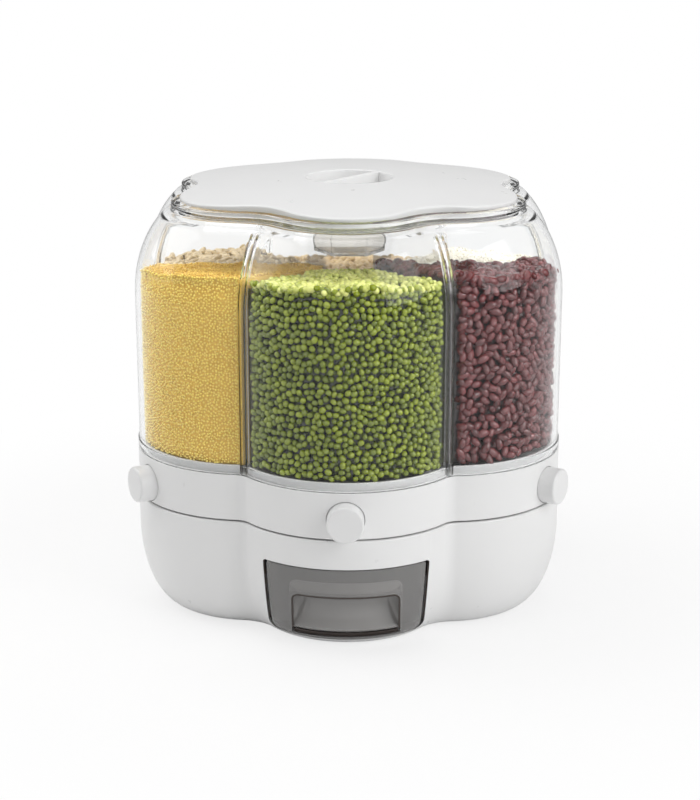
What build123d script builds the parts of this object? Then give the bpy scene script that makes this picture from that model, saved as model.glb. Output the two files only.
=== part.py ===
from build123d import *
from math import asin, atan2, cos, degrees, hypot, radians, sin, sqrt, tan
import os

# Rotating grain dispenser with six lobes, millimetres, +Z up.
# The origin is on the turning axis, at the height the feet stand on. -Y is the drawer side.

# Plan outline, at the widest level
lobe_count = 6
lobe_pitch = 76.0          # centre of a lobe's arc from the axis
lobe_radius = 80.5
cusp_radius = 12.0         # hollow between two lobes
base_wall = 3.0
ring_wall = 3.0
barrel_wall = 3.0

# Heights of the three storeys
foot_height = 1.5
foot_radius = 7.0
foot_margin = 46.5         # from the outline to the centre of a foot
base_top = 80.0
seam_gap = 1.0
ring_lintel = 5.85         # from the buttons' top to the ring's top
rim_top = 282.0            # top of the barrel's mouth

# Base shell
under_drop = 58.4          # height where the rounding under starts
under_width = 26.6
under_height = 58.0
deck_thickness = 3.0
bottom_thickness = 2.5
plate_gap = 0.3            # clearance round plates that drop into a shell
pillar_radius = 4.0
base_pillar_margin = 54.5

# Roller race under the turning part
race_pitch = 64.0
race_width = 16.0
race_wall = 2.0
race_rib = 0.8
race_rib_width = 6.0
roller_radius = 3.0
roller_length = 8.0
roller_gap = 0.1
roller_slot_gap = 0.25
cage_thickness = 2.0
cage_width = 13.0

# Pivot
spindle_radius = 8.0
spindle_gap = 0.06
spindle_flange_radius = 14.0
spindle_flange_thickness = 3.0
hub_radius = 13.0
hub_top = 95.0
hub_gap = 0.3
washer_radius = 12.0
washer_thickness = 1.5
cap_radius = 6.5
cap_height = 3.0

# Turning part: turntable, gates, buttons
turntable_radius = 127.0
turntable_thickness = 2.5
gate_travel = 10.0
gate_half = 27.0
gate_thickness = 2.4
gate_inner = 84.0
slide_gap = 0.3
rail_width = 2.0
rail_lip = 2.0
rail_lip_thickness = 1.2
outlet_inner = 95.0
outlet_length = 9.5        # along the radius
outlet_half = 21.0         # across the radius
outlet_margin = 0.5
tab_thickness = 2.5
tab_half = 12.0
tab_rise = 9.7              # above the button's centre
button_sill = 1.05         # from the ring's bottom to the buttons
button_radius = 12.25
button_proud = 11.0
button_hole_gap = 0.45
button_wall = 1.8
button_chamfer = 1.2
button_back = 138.0
bore_sides = 12
lug_height = 2.0
lug_width = 8.0
lug_thickness = 2.0
lug_gap = 1.32             # behind the ring's wall
spring_radius = 7.0
spring_wire = 1.4
spring_hole_gap = 1.5
seat_thickness = 2.5
seat_drop = 2.0            # how far a seat goes below the throat's top

# Hopper floor
floor_thickness = 3.0
hopper_inner = 46.0
hopper_margin = 35.5       # from the outline to the funnels
hopper_half_inner = 20.5
hopper_half_outer = 54.0
hopper_wall = 2.0
throat_height = 3.6
floor_pillar_margin = 30.15

# Chute in the base
chute_margin = 1.0
chute_wall = 2.0
chute_bottom = 56.0
chute_flare = 2.0

# Barrel
flange_height = 6.5
ring_inset = 0.35
barrel_step = 0.85
shoulder_rise = 55.6       # from the foot of the shoulder to the rim
shoulder_width = 53.0
shoulder_height = 68.4
rim_height = 6.0
rim_inset = 27.0
mouth_inset = 37.0
mouth_depth = 4.5
divider_thickness = 2.4
divider_drop = 11.5        # below the top of the mouth
divider_gap = 0.3
column_flats = 55.0
column_wall = 2.0

# Lid
lid_inset = 33.0
lid_thickness = 2.5        # at the edge, and of the wall under the crown
lid_crown = 7.1            # rise of the crown above the edge
lid_seat = 8.0
lid_chamfer = 0.7
grip_radius = 30.0
grip_depth = 9.0
grip_wall = 2.0
grip_bar = 4.0
grip_bar_turn = 52.0
grip_bar_drop = 0.6
gasket_gap = 0.3
gasket_width = 2.4
gasket_depth = 4.0
box_flats = 43.0
box_wall = 1.6
box_drop = 42.0            # below the top of the mouth
cover_thickness = 2.0
vent_width = 2.4
vent_pitch = 6.0
vent_count = 5

# Drawer
window_half = 55.0         # at the top
window_draft = 3.5         # degrees, each side
window_bottom = 5.5
window_top = 60.5
window_low_corner = 9.0
window_high_corner = 2.0
drawer_gap = 0.8
tray_half = 50.0
tray_wall = 2.2
tray_floor = 14.0
tray_top = 52.0
tray_back = 20.0
tray_corner = 4.0
pull_half = 36.0
pull_top = 41.0
pull_rise = 5.0
pull_depth = 14.0
pull_wall = 2.2
pull_corner = 6.0
pull_hollow = 1.5
slot_bottom = 8.0
guide_gap = 0.4
guide_wall = 2.5
guide_ledge = 6.0
guide_thickness = 2.5
guide_top = 48.0
guide_back = 6.0

# Sizes that follow
reach = lobe_pitch + lobe_radius
lobe_gap = 2 * lobe_pitch * sin(radians(180 / lobe_count))
cusp_centre = lobe_pitch * cos(radians(180 / lobe_count)) + sqrt(
    (lobe_radius + cusp_radius) ** 2 - (lobe_gap / 2) ** 2
)
cusp_reach = cusp_centre - cusp_radius
foot_reach = reach - foot_margin
base_pillar_reach = reach - base_pillar_margin
floor_pillar_reach = cusp_reach - floor_pillar_margin
hopper_outer = reach - hopper_margin
seat_reach = hopper_outer
step_angle = 360 / lobe_count
ring_bottom = base_top + seam_gap
button_height = ring_bottom + button_sill + button_radius
ring_top = button_height + button_radius + ring_lintel
floor_bottom = ring_top - floor_thickness
turntable_top = ring_bottom + turntable_thickness
gate_bottom = turntable_top + slide_gap
gate_top = gate_bottom + gate_thickness
rail_top = gate_top + slide_gap + rail_lip_thickness
rail_inner = gate_half + slide_gap
throat_bottom = gate_top + slide_gap
throat_top = throat_bottom + throat_height
outlet_outer = outlet_inner + outlet_length
button_face = reach + button_proud - ring_inset
tab_top = button_height + tab_rise
lug_half = button_radius + lug_height
lug_reach = lobe_pitch + sqrt((lobe_radius - ring_inset - ring_wall) ** 2 - lug_half**2) - lug_gap
plate_top = foot_height + bottom_thickness
deck_bottom = base_top - deck_thickness
flange_top = ring_top + flange_height
rim_bottom = rim_top - rim_height
shoulder_base = rim_bottom - shoulder_rise
divider_top = rim_top - divider_drop
box_bottom = rim_top - box_drop
lid_reach = reach - lid_inset
lid_top = rim_top + lid_thickness + lid_crown
crown_radius = (lid_reach**2 + lid_crown**2) / (2 * lid_crown)
window_low_half = window_half - (window_top - window_bottom) * tan(radians(window_draft))
wall_inset = ring_inset + barrel_step
column_half = column_flats / 2
race_inner = race_pitch - race_width / 2
race_outer = race_pitch + race_width / 2
roller_height = ring_bottom - race_rib - roller_gap - roller_radius
race_floor = roller_height - roller_radius - roller_gap

# A section plane through the front lobe: x is the distance from the axis, y the height
SECTION = Plane(origin=(0, 0, 0), x_dir=(0, -1, 0), z_dir=(-1, 0, 0))
# The front seen square on: x to the right, y the height
FRONT = Plane(origin=(0, 0, 0), x_dir=(1, 0, 0), z_dir=(0, -1, 0))
LOBE_AXIS = Axis((0, -lobe_pitch, 0), (0, 0, 1))


def lobed(inset, mode=Mode.ADD):
    """The six-lobed outline at an inset, added to the open sketch."""
    with BuildSketch(mode=Mode.PRIVATE) as outline:
        with PolarLocations(lobe_pitch, lobe_count, start_angle=-90):
            Circle(lobe_radius - inset)
        RegularPolygon(lobe_pitch, lobe_count, rotation=30)
        fillet(outline.vertices(), cusp_radius + inset)
    add(outline.sketch, mode=mode)


def window_outline(gap):
    """The drawer's window, or what fits in it with a gap, added to the open sketch."""
    with BuildSketch(mode=Mode.PRIVATE) as window:
        with BuildLine():
            Polyline(
                (window_low_half - gap, window_bottom + gap),
                (window_half - gap, window_top - gap),
                (gap - window_half, window_top - gap),
                (gap - window_low_half, window_bottom + gap),
                close=True,
            )
        make_face()
        fillet(window.vertices().group_by(Axis.Y)[0], window_low_corner - gap)
        fillet(window.vertices().group_by(Axis.Y)[-1], window_high_corner - gap)
    add(window.sketch)


def ellipse_inner(centre_x, centre_y, width, height, angle, wall):
    """A point inside an elliptical wall, square to it, at an angle on the ellipse."""
    nx, ny = cos(radians(angle)) / width, sin(radians(angle)) / height
    size = hypot(nx, ny)
    x = centre_x + width * cos(radians(angle)) - wall * nx / size
    y = centre_y + height * sin(radians(angle)) - wall * ny / size
    return (x, y)


def base_inner(wall):
    """The inside of the base's wall from the deck down, as points of the section."""
    points = [(reach - wall, base_top), (reach - wall, under_drop)]
    for share in (0.56, 1.0):
        points.append(
            ellipse_inner(
                reach - under_width, under_drop, under_width, under_height, -share * under_angle, wall
            )
        )
    points.append((points[-1][0], foot_height))
    return points


under_angle = degrees(asin((under_drop - foot_height) / under_height))
shoulder_angle = degrees(asin((rim_bottom - shoulder_base) / shoulder_height))

with BuildSketch() as outline_sketch:
    lobed(0)
outline = outline_sketch.faces()[0].outer_wire()

# Base: a lobed shell with its deck, race, chute opening, pillars and drawer window
with BuildSketch(SECTION) as base_section:
    with BuildLine():
        Line((reach, base_top), (reach, under_drop))
        rounding = EllipticalCenterArc(
            (reach - under_width, under_drop),
            under_width,
            under_height,
            start_angle=-under_angle,
            arc_size=under_angle,
        )
        inside = base_inner(base_wall)
        Polyline((reach, base_top), *inside, (inside[-1][0] + 1, foot_height))
        lip_end = (inside[-1][0] + 1, foot_height)
        toe = (
            reach - under_width + under_width * cos(radians(under_angle)),
            under_drop - under_height * sin(radians(under_angle)),
        )
        Line(lip_end, toe)
    make_face()

with BuildPart() as base_shell:
    add(base_section.sketch)
    sweep(path=outline)
    with BuildSketch(Plane.XY.offset(deck_bottom)):
        lobed(base_wall / 2)
    extrude(amount=deck_thickness)
    # the race: a trough for the rollers, hung under the deck
    with BuildSketch(Plane.XY.offset(race_floor - race_wall)):
        Circle(race_outer + race_wall)
        Circle(race_inner - race_wall, mode=Mode.SUBTRACT)
    extrude(until=Until.NEXT)
    with BuildSketch(Plane.XY.offset(race_floor)):
        Circle(race_outer)
        Circle(race_inner, mode=Mode.SUBTRACT)
    extrude(amount=base_top - race_floor, mode=Mode.SUBTRACT)
    # pillars down to the bottom plate, under every lobe but the drawer's
    with BuildSketch(Plane.XY.offset(plate_top)):
        with PolarLocations(
            base_pillar_reach,
            lobe_count - 1,
            start_angle=-90 + step_angle,
            angular_range=360 - 2 * step_angle,
            endpoint=True,
        ):
            Circle(pillar_radius)
    extrude(amount=deck_bottom - plate_top)
    # opening over the chute
    with BuildSketch(Plane.XY.offset(base_top)):
        with Locations((0, -(outlet_inner + outlet_outer) / 2)):
            Rectangle(2 * (outlet_half + chute_margin), outlet_length + 2 * chute_margin)
    extrude(amount=-2 * deck_thickness, mode=Mode.SUBTRACT)
    # bore for the spindle
    with BuildSketch(Plane.XY.offset(base_top)):
        Circle(spindle_radius + spindle_gap)
    extrude(amount=-2 * deck_thickness, mode=Mode.SUBTRACT)
    # drawer window
    with BuildSketch(FRONT.offset(lobe_pitch + lobe_radius / 6)):
        window_outline(0)
    extrude(amount=lobe_radius, mode=Mode.SUBTRACT)
base_shell.part.label = "base_shell"

# Bottom plate, dropped in from below and held by the pillars
with BuildPart() as base_bottom:
    with BuildSketch(Plane.XY.offset(foot_height)):
        lobed(reach - inside[-1][0] + plate_gap)
    extrude(amount=bottom_thickness)
base_bottom.part.label = "base_bottom"

# Six soft feet, one under each lobe
with BuildPart() as feet:
    with BuildSketch():
        with PolarLocations(foot_reach, lobe_count, start_angle=-90):
            Circle(foot_radius)
    extrude(amount=foot_height)
feet.part.label = "feet"

# Spindle: a flanged pin pushed up through the deck
with BuildPart() as spindle:
    with BuildSketch(Plane.XY.offset(deck_bottom - spindle_flange_thickness)):
        Circle(spindle_flange_radius)
    extrude(amount=spindle_flange_thickness)
    with BuildSketch(Plane.XY.offset(deck_bottom)):
        Circle(spindle_radius)
    extrude(amount=hub_top + hub_gap - deck_bottom)
spindle.part.label = "spindle"

# Washer and cap screw that keep the turning part down
with BuildPart() as spindle_cap:
    with BuildSketch(Plane.XY.offset(hub_top + hub_gap)):
        Circle(washer_radius)
    extrude(amount=washer_thickness)
    with BuildSketch(Plane.XY.offset(hub_top + hub_gap + washer_thickness)):
        Circle(cap_radius)
    extrude(amount=cap_height)
    with BuildSketch(Plane.XY.offset(hub_top + hub_gap + washer_thickness + cap_height)):
        RegularPolygon(cap_radius / 2, 6)
    extrude(amount=-cap_height * 0.6, mode=Mode.SUBTRACT)
spindle_cap.part.label = "spindle_cap"

# Chute: hangs from the deck and leads the grain into the drawer
chute_length = outlet_length + 2 * chute_margin
chute_half = outlet_half + chute_margin
chute_y = -(outlet_inner + outlet_outer) / 2
chute_slope = degrees(atan2(chute_flare, deck_bottom - chute_bottom))
with BuildPart() as chute:
    with BuildSketch(Plane.XY.offset(deck_bottom)):
        with Locations((0, chute_y)):
            Rectangle(2 * (chute_half + chute_wall), chute_length + 2 * chute_wall)
    extrude(amount=chute_bottom - deck_bottom, taper=-chute_slope)
    with BuildSketch(Plane.XY.offset(deck_bottom)):
        with Locations((0, chute_y)):
            Rectangle(2 * chute_half, chute_length)
    extrude(amount=chute_bottom - deck_bottom, taper=-chute_slope, mode=Mode.SUBTRACT)
chute.part.label = "chute"


# The space behind the front lobe's wall, which the drawer and its guides have to fit
def front_room(clearance):
    """Everything inside the front lobe's wall, less a clearance."""
    with BuildPart(mode=Mode.PRIVATE) as space:
        with BuildSketch(SECTION):
            with BuildLine():
                side = base_inner(base_wall + clearance)
                Polyline((lobe_pitch, base_top), *side, (lobe_pitch, foot_height), close=True)
            make_face()
        revolve(axis=LOBE_AXIS)
        with BuildSketch(Plane.XY.offset(foot_height)):
            with Locations((0, (tray_back - lobe_pitch) / 2)):
                Rectangle(2 * (lobe_radius - base_wall), lobe_pitch + tray_back)
        extrude(amount=base_top - foot_height)
    return space.part


room = front_room(0)
guide_room = front_room(plate_gap)

# Guides: an angle rail each side of the drawer, standing on the bottom plate
guide_x = tray_half + guide_gap
with BuildPart() as guide_right:
    with BuildSketch(FRONT.offset(guide_back)):
        with BuildLine():
            Polyline(
                (guide_x, guide_top),
                (guide_x, tray_floor - guide_gap),
                (guide_x - guide_ledge, tray_floor - guide_gap),
                (guide_x - guide_ledge, tray_floor - guide_gap - guide_thickness),
                (guide_x, tray_floor - guide_gap - guide_thickness),
                (guide_x, plate_top),
                (guide_x + guide_wall, plate_top),
                (guide_x + guide_wall, guide_top),
                close=True,
            )
        make_face()
    extrude(amount=reach)
    add(guide_room, mode=Mode.INTERSECT)
guide_right.part.label = "guide_right"
with BuildPart() as guide_left:
    add(guide_right.part)
    mirror(about=Plane.YZ, mode=Mode.REPLACE)
guide_left.part.label = "guide_left"

# Finger pull: a scoop behind the drawer front, with a sloping roof and a hollow back
pull_roof = pull_top + pull_rise
pull_back = lobe_radius - pull_depth
under_here = under_width * (1 - sqrt(1 - ((under_drop - tray_floor) / under_height) ** 2))
pull_foot = lobe_radius - under_here
pull_waist = (pull_back + 2 * pull_foot) / 3 - pull_hollow
pull_waist_height = (pull_roof + 2 * tray_floor) / 3


def pull_section(grow):
    """Section of the finger pull through the front lobe, grown by a wall, added to the open sketch."""
    with BuildSketch(mode=Mode.PRIVATE) as section:
        with BuildLine():
            Polyline(
                (lobe_pitch + pull_foot, tray_floor),
                (reach + base_wall, tray_floor),
                (reach + base_wall, pull_top + grow),
                (reach - base_wall, pull_top + grow),
                (lobe_pitch + pull_back - grow, pull_roof + grow),
            )
            Polyline(
                (lobe_pitch + pull_back - grow, pull_roof + grow),
                (lobe_pitch + pull_waist - grow, pull_waist_height),
                (lobe_pitch + pull_foot - grow, tray_floor),
            )
            if grow:
                Line((lobe_pitch + pull_foot - grow, tray_floor), (lobe_pitch + pull_foot, tray_floor))
        make_face()
    add(section.sketch)


with BuildPart() as pull_space:
    with BuildSketch(SECTION):
        pull_section(0)
    revolve(axis=LOBE_AXIS)
    with BuildSketch(FRONT.offset(lobe_pitch)) as pull_face:
        with Locations((0, (tray_floor + pull_roof) / 2)):
            Rectangle(2 * pull_half, pull_roof - tray_floor)
        fillet(pull_face.vertices().group_by(Axis.Y)[-1], pull_corner)
    extrude(amount=2 * lobe_radius, mode=Mode.INTERSECT)
with BuildPart() as pull_body:
    with BuildSketch(SECTION):
        pull_section(pull_wall)
    revolve(axis=LOBE_AXIS)
    with BuildSketch(FRONT.offset(lobe_pitch)) as pull_outer:
        with Locations((0, (tray_floor + pull_roof + pull_wall) / 2)):
            Rectangle(2 * (pull_half + pull_wall), pull_roof + pull_wall - tray_floor)
        fillet(pull_outer.vertices().group_by(Axis.Y)[-1], pull_corner + pull_wall)
    extrude(amount=2 * lobe_radius, mode=Mode.INTERSECT)
    add(room, mode=Mode.INTERSECT)

# Drawer front: the lobe's own wall inside the window, with the finger pull let in
with BuildPart() as drawer_front:
    add(base_section.sketch)
    revolve(axis=LOBE_AXIS, revolution_arc=60)
    mirror(about=Plane.YZ)
    with BuildSketch(FRONT.offset(lobe_pitch)):
        window_outline(drawer_gap)
    extrude(amount=2 * lobe_radius, mode=Mode.INTERSECT)
    add(pull_body.part)
    add(pull_space.part, mode=Mode.SUBTRACT)
    # the open slot under the finger pull
    with BuildSketch(FRONT.offset(lobe_pitch)):
        with Locations((0, (slot_bottom + tray_floor) / 2)):
            Rectangle(2 * (pull_half - pull_wall / 2), tray_floor - slot_bottom)
    extrude(amount=2 * lobe_radius, mode=Mode.SUBTRACT)
drawer_front.part.label = "drawer_front"

# Drawer tray: an open cup, trimmed in front to the curve of the drawer front
with BuildPart() as drawer_tray:
    with BuildSketch(Plane.XY.offset(tray_floor)) as tray_plan:
        with Locations((0, -(tray_back + reach) / 2)):
            Rectangle(2 * tray_half, reach - tray_back)
        fillet(tray_plan.vertices().group_by(Axis.Y)[-1], tray_corner)
    extrude(amount=tray_top - tray_floor)
    with BuildSketch(Plane.XY.offset(tray_floor + tray_wall)) as tray_inside:
        with Locations((0, -(tray_back + tray_wall + reach) / 2)):
            Rectangle(2 * (tray_half - tray_wall), reach - tray_back - tray_wall)
        fillet(tray_inside.vertices().group_by(Axis.Y)[-1], tray_corner - tray_wall)
    extrude(amount=tray_top, mode=Mode.SUBTRACT)
    add(room, mode=Mode.INTERSECT)
    add(pull_body.part, mode=Mode.SUBTRACT)
drawer_tray.part.label = "drawer_tray"

# Rollers between the race and the turntable, loose in a flat cage
with BuildPart() as rollers:
    with PolarLocations(0, lobe_count):
        with Locations(Location((0, -race_pitch, roller_height), (90, 0, 0))):
            Cylinder(roller_radius, roller_length)
rollers.part.label = "rollers"

with BuildPart() as roller_cage:
    with BuildSketch(Plane.XY.offset(roller_height - cage_thickness / 2)):
        Circle(race_pitch + cage_width / 2)
        Circle(race_pitch - cage_width / 2, mode=Mode.SUBTRACT)
        with PolarLocations(race_pitch, lobe_count, start_angle=-90):
            Rectangle(
                roller_length + 2 * roller_slot_gap,
                2 * (roller_radius + roller_slot_gap),
                mode=Mode.SUBTRACT,
            )
    extrude(amount=cage_thickness)
roller_cage.part.label = "roller_cage"

# Turntable: disc with hub, race rib, six outlets and the rails of the six gates
with BuildPart() as turntable:
    with BuildSketch(Plane.XY.offset(ring_bottom)):
        Circle(turntable_radius)
    extrude(amount=turntable_thickness)
    with BuildSketch(Plane.XY.offset(ring_bottom)):
        Circle(race_pitch + race_rib_width / 2)
        Circle(race_pitch - race_rib_width / 2, mode=Mode.SUBTRACT)
    extrude(amount=-race_rib)
    with BuildSketch(Plane.XY.offset(base_top + hub_gap)):
        Circle(hub_radius)
    extrude(amount=hub_top - base_top - hub_gap)
    with BuildSketch(Plane.XY.offset(base_top)):
        Circle(spindle_radius + spindle_gap)
    extrude(amount=hub_top, mode=Mode.SUBTRACT)
    with BuildSketch(Plane.XY.offset(ring_bottom)):
        with PolarLocations((outlet_inner + outlet_outer) / 2, lobe_count, start_angle=-90):
            Rectangle(
                outlet_length + 2 * outlet_margin,
                2 * (outlet_half + outlet_margin),
                mode=Mode.ADD,
            )
    extrude(amount=turntable_thickness, mode=Mode.SUBTRACT)
    rail_start = gate_inner - gate_travel
    rail_end = sqrt(turntable_radius**2 - (rail_inner + rail_width) ** 2) - 1
    with BuildSketch(Plane.XY.offset(turntable_top)):
        with PolarLocations((rail_start + rail_end) / 2, lobe_count, start_angle=-90):
            with Locations((0, rail_inner + rail_width / 2), (0, -rail_inner - rail_width / 2)):
                Rectangle(rail_end - rail_start, rail_width)
    extrude(amount=rail_top - turntable_top)
    with BuildSketch(Plane.XY.offset(rail_top - rail_lip_thickness)):
        with PolarLocations((rail_start + rail_end) / 2, lobe_count, start_angle=-90):
            with Locations((0, rail_inner - rail_lip / 2), (0, -rail_inner + rail_lip / 2)):
                Rectangle(rail_end - rail_start, rail_lip)
    extrude(amount=rail_lip_thickness)
turntable.part.label = "turntable"

# Gate: a slide with a window, and a tab that meets the back of its button
with BuildPart() as gate:
    with BuildSketch(Plane.XY.offset(gate_bottom)):
        with Locations((0, -(gate_inner + button_back) / 2)):
            Rectangle(2 * gate_half, button_back - gate_inner)
        with Locations((0, -(outlet_inner + outlet_outer) / 2 - gate_travel - outlet_margin)):
            Rectangle(2 * outlet_half, outlet_length, mode=Mode.SUBTRACT)
    extrude(amount=gate_thickness)
    with BuildSketch(FRONT.offset(button_back - tab_thickness)):
        with Locations((0, (gate_bottom + tab_top) / 2)):
            Rectangle(2 * tab_half, tab_top - gate_bottom)
        with Locations((0, button_height)):
            Circle(spring_radius + spring_hole_gap, mode=Mode.SUBTRACT)
    extrude(amount=tab_thickness)

# Button: a hollow cap with a lug each side behind the ring's wall
with BuildPart() as button:
    with BuildSketch(FRONT.offset(button_back)):
        with Locations((0, button_height)):
            Circle(button_radius)
    extrude(amount=button_face - button_back)
    chamfer(button.faces().sort_by(Axis.Y)[0].edges(), button_chamfer)
    # two lugs that stop it behind the ring's wall
    with BuildSketch(FRONT.offset(lug_reach - lug_thickness)):
        with Locations((0, button_height)):
            Rectangle(2 * lug_half, lug_width)
    extrude(amount=lug_thickness)
    with BuildSketch(FRONT.offset(button_back)):
        with Locations((0, button_height)):
            RegularPolygon(button_radius - button_wall, bore_sides)
    extrude(amount=button_face - button_wall - button_back, mode=Mode.SUBTRACT)

# Return spring: from its seat on the hopper floor to the inside of the button's cap
with BuildPart() as spring:
    with BuildSketch(FRONT.offset(seat_reach)):
        with Locations((0, button_height)):
            RegularPolygon(spring_radius, bore_sides)
            RegularPolygon(spring_radius - spring_wire, bore_sides, mode=Mode.SUBTRACT)
    extrude(amount=button_face - button_wall - seat_reach)

# Button ring: the drafted wall round the turning part, with a round hole for each button
with BuildPart() as button_ring:
    with BuildSketch(SECTION):
        with BuildLine():
            Polyline(
                (reach - ring_inset, ring_bottom),
                (reach - ring_inset, ring_top),
                (reach - ring_inset - ring_wall, ring_top),
                (reach - ring_inset - ring_wall, ring_bottom),
                close=True,
            )
        make_face()
    sweep(path=outline)
    with PolarLocations(0, lobe_count):
        with Locations(Location((0, -lobe_pitch - lobe_radius / 2, button_height), (90, 0, 0))):
            Cylinder(
                button_radius + button_hole_gap,
                lobe_radius * 1.5,
                mode=Mode.SUBTRACT,
            )
button_ring.part.label = "button_ring"

# Hopper funnels: each drops into a sloping hole of the floor, with its throat and a spring's seat
hopper_mid = (hopper_inner + hopper_outer) / 2
throat_mid = (outlet_inner + outlet_outer) / 2


def funnel(grow):
    """One funnel under the front lobe: sloping sides that close a wedge to the outlet's slot."""
    with BuildPart(mode=Mode.PRIVATE) as shape:
        with BuildSketch(Plane.XY.offset(throat_bottom)):
            with BuildLine():
                Polyline(
                    (-hopper_half_inner - grow, -hopper_inner + grow),
                    (hopper_half_inner + grow, -hopper_inner + grow),
                    (hopper_half_outer + grow, -hopper_outer - grow),
                    (-hopper_half_outer - grow, -hopper_outer - grow),
                    close=True,
                )
            make_face()
        extrude(amount=ring_top - throat_bottom)
        with BuildSketch(SECTION):
            with BuildLine():
                Polyline(
                    (hopper_inner - grow, ring_top),
                    (outlet_inner - grow, throat_top),
                    (outlet_inner - grow, throat_bottom),
                    (outlet_outer + grow, throat_bottom),
                    (outlet_outer + grow, throat_top),
                    (hopper_outer + grow, ring_top),
                    close=True,
                )
            make_face()
        extrude(amount=lobe_radius, both=True, mode=Mode.INTERSECT)
        with BuildSketch(FRONT):
            with BuildLine():
                Polyline(
                    (-hopper_half_outer - grow, ring_top),
                    (-outlet_half - grow, throat_top),
                    (-outlet_half - grow, throat_bottom),
                    (outlet_half + grow, throat_bottom),
                    (outlet_half + grow, throat_top),
                    (hopper_half_outer + grow, ring_top),
                    close=True,
                )
            make_face()
        extrude(amount=reach, mode=Mode.INTERSECT)
    return shape.part


funnel_body = funnel(hopper_wall)
with BuildPart() as hopper_funnel:
    add(funnel_body)
    with BuildSketch(FRONT.offset(seat_reach - seat_thickness - hopper_wall)):
        with Locations((0, (throat_top - seat_drop + floor_bottom) / 2)):
            Rectangle(2 * tab_half, floor_bottom - throat_top + seat_drop)
    extrude(amount=seat_thickness + hopper_wall)
    add(funnel(0), mode=Mode.SUBTRACT)

# Hopper floor: a lobed deck with a hole for each funnel, and pillars down to the turntable
with BuildPart() as hopper_floor:
    with BuildSketch(Plane.XY.offset(floor_bottom)):
        lobed(ring_inset + ring_wall + plate_gap)
    extrude(amount=floor_thickness)
    with BuildSketch(Plane.XY.offset(turntable_top)):
        with PolarLocations(floor_pillar_reach, lobe_count, start_angle=-90 + step_angle / 2):
            Circle(pillar_radius)
    extrude(amount=floor_bottom - turntable_top)
    with PolarLocations(0, lobe_count):
        add(funnel_body, mode=Mode.SUBTRACT)
hopper_floor.part.label = "hopper_floor"

# Barrel: the clear lobed wall with a flange at its foot, a curved shoulder and a mouth rim
shoulder_x = reach - wall_inset - shoulder_width
shoulder_end = shoulder_x + shoulder_width * cos(radians(shoulder_angle))
barrel_inside = [(reach - wall_inset - barrel_wall, ring_top)]
for share in (0.0, 0.56, 1.0):
    barrel_inside.append(
        ellipse_inner(
            shoulder_x, shoulder_base, shoulder_width, shoulder_height, share * shoulder_angle, barrel_wall
        )
    )
with BuildPart() as barrel:
    with BuildSketch(SECTION):
        with BuildLine():
            Polyline(
                (reach - ring_inset, ring_top),
                (reach - ring_inset, flange_top),
                (reach - wall_inset, flange_top),
                (reach - wall_inset, shoulder_base),
            )
            EllipticalCenterArc(
                (shoulder_x, shoulder_base),
                shoulder_width,
                shoulder_height,
                start_angle=0,
                arc_size=shoulder_angle,
            )
            Polyline(
                (shoulder_end, rim_bottom),
                (reach - rim_inset, rim_bottom),
                (reach - rim_inset, rim_top),
                (reach - mouth_inset, rim_top),
                (reach - mouth_inset, rim_top - mouth_depth),
                *reversed(barrel_inside),
                (reach - ring_inset, ring_top),
            )
        make_face()
    sweep(path=outline)
barrel.part.label = "barrel"

# Dividers: a hexagonal column with a thin wall out to every hollow of the barrel
cusp_shift = reach - cusp_reach
divider_edge = [
    (x - cusp_shift - divider_gap, y) for x, y in barrel_inside if y < divider_top
]
last_in, last_out = barrel_inside[len(divider_edge) - 1], barrel_inside[len(divider_edge)]
top_share = (divider_top - last_in[1]) / (last_out[1] - last_in[1])
divider_edge.append(
    (
        last_in[0] + top_share * (last_out[0] - last_in[0]) - cusp_shift - divider_gap,
        divider_top,
    )
)
with BuildPart() as divider:
    with BuildSketch(FRONT):
        with BuildLine():
            Polyline(
                (column_half, ring_top), *divider_edge, (column_half, divider_top), close=True
            )
        make_face()
    extrude(amount=divider_thickness / 2, both=True)
with BuildPart() as divider_core:
    with BuildSketch(Plane.XY.offset(ring_top)):
        RegularPolygon(column_half, 6, major_radius=False)
    extrude(amount=divider_top - ring_top)
    with PolarLocations(0, lobe_count):
        add(divider.part)
    with BuildSketch(Plane.XY.offset(ring_top)):
        RegularPolygon(column_half - column_wall, 6, major_radius=False)
    extrude(amount=divider_top - ring_top, mode=Mode.SUBTRACT)
divider_core.part.label = "divider_core"

# Lid: a lobed plate, crowned and hollow under its crown, with a round grip and its slanting bar
def under_crown(inset, drop):
    """A lobed block from the rim up to a face that lies below the lid's crown by a drop."""
    with BuildPart(mode=Mode.PRIVATE) as block:
        with BuildSketch(Plane.XY.offset(rim_top)):
            lobed(inset)
        extrude(amount=lid_top - rim_top)
        with Locations((0, 0, lid_top - crown_radius)):
            Sphere(crown_radius - drop, mode=Mode.INTERSECT)
    return block.part


with BuildPart() as lid_plate:
    add(under_crown(lid_inset, 0))
    chamfer(lid_plate.faces().sort_by(Axis.Z)[-1].edges(), lid_chamfer)
    add(under_crown(lid_inset + lid_seat, lid_thickness), mode=Mode.SUBTRACT)
    with BuildSketch(Plane.XY.offset(lid_top - grip_depth - grip_wall)):
        Circle(grip_radius + grip_wall)
    extrude(amount=grip_depth + grip_wall - lid_chamfer)
    with BuildSketch(Plane.XY.offset(lid_top - grip_depth)):
        Circle(grip_radius)
    extrude(amount=grip_depth, mode=Mode.SUBTRACT)
    with BuildSketch(Plane.XY.offset(lid_top - grip_depth)):
        Rectangle(2 * grip_radius + grip_wall, grip_bar, rotation=grip_bar_turn)
        Circle(grip_radius + grip_wall / 2, mode=Mode.INTERSECT)
    extrude(amount=grip_depth - grip_bar_drop)
lid_plate.part.label = "lid_plate"

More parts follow.
